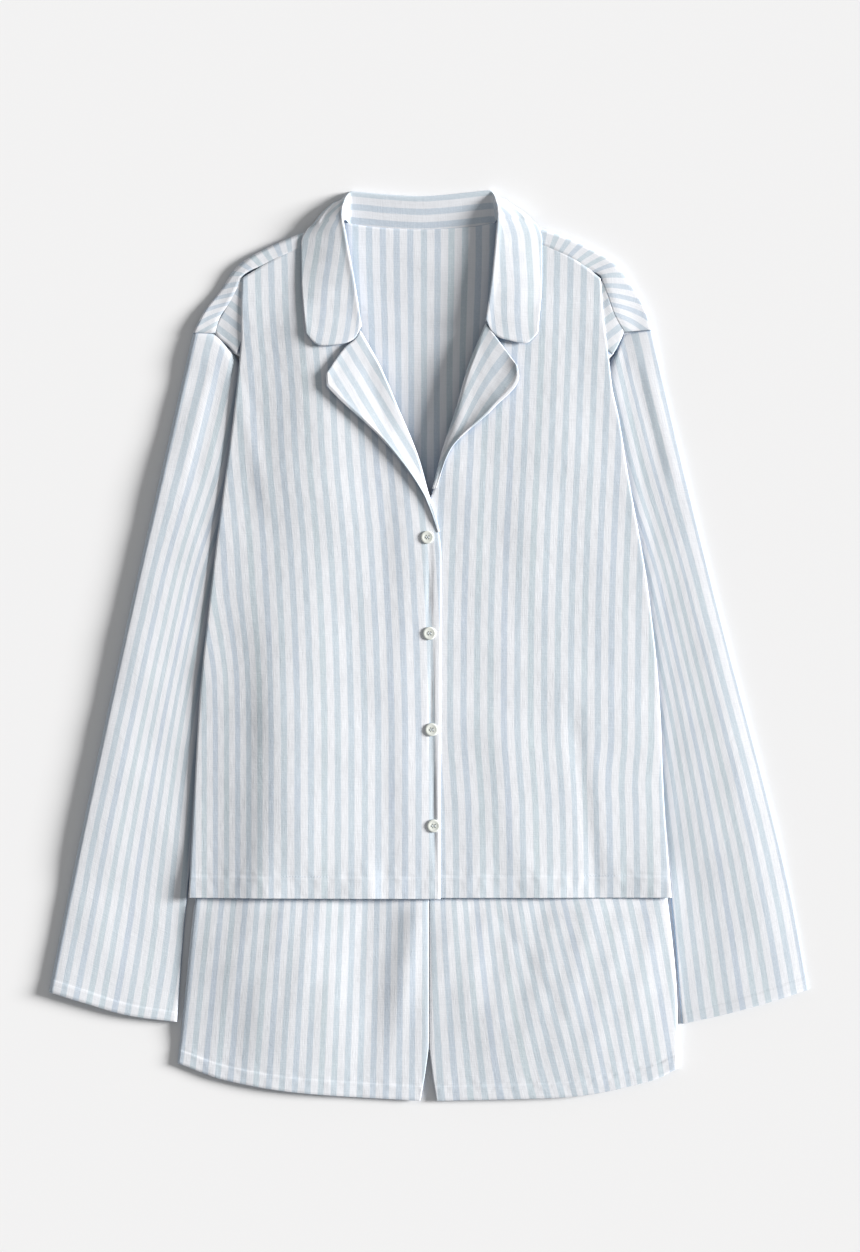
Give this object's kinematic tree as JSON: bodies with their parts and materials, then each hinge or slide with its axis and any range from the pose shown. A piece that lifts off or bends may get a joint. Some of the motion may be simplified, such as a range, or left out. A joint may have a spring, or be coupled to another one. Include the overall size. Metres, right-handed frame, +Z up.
{
  "type": "pyjama set",
  "caption": "Striped cotton pyjama set laid flat: long-sleeved buttoned shirt with a notched collar, over matching shorts.",
  "frame": {"origin": "middle of the whole outline, on the surface that the set lies on", "axes": "+Z up, +Y towards the neck, +X towards the wearer's left side"},
  "size_m": [0.7212, 0.8634, 0.0109],
  "materials": {
    "shirt_cotton": "plain-woven cotton, white with soft blue stripes about 13 mm apart, matte",
    "collar_cotton": "the same striped cotton, interfaced, matte",
    "shorts_cotton": "the same striped cotton, matte",
    "button": "pearly white, polished"
  },
  "bodies": {
    "root": {"shirt_back": "shirt_cotton", "shirt_front_right": "shirt_cotton", "shirt_front_left": "shirt_cotton", "sleeve_right": "shirt_cotton", "sleeve_left": "shirt_cotton", "collar": "collar_cotton", "facing_right": "collar_cotton", "facing_left": "collar_cotton", "shorts_front_right": "shorts_cotton", "shorts_front_left": "shorts_cotton", "shorts_back_right": "shorts_cotton", "shorts_back_left": "shorts_cotton", "shorts_waistband": "shorts_cotton", "button_1": "button", "button_2": "button", "button_3": "button", "button_4": "button"}
  },
  "joints": []
}
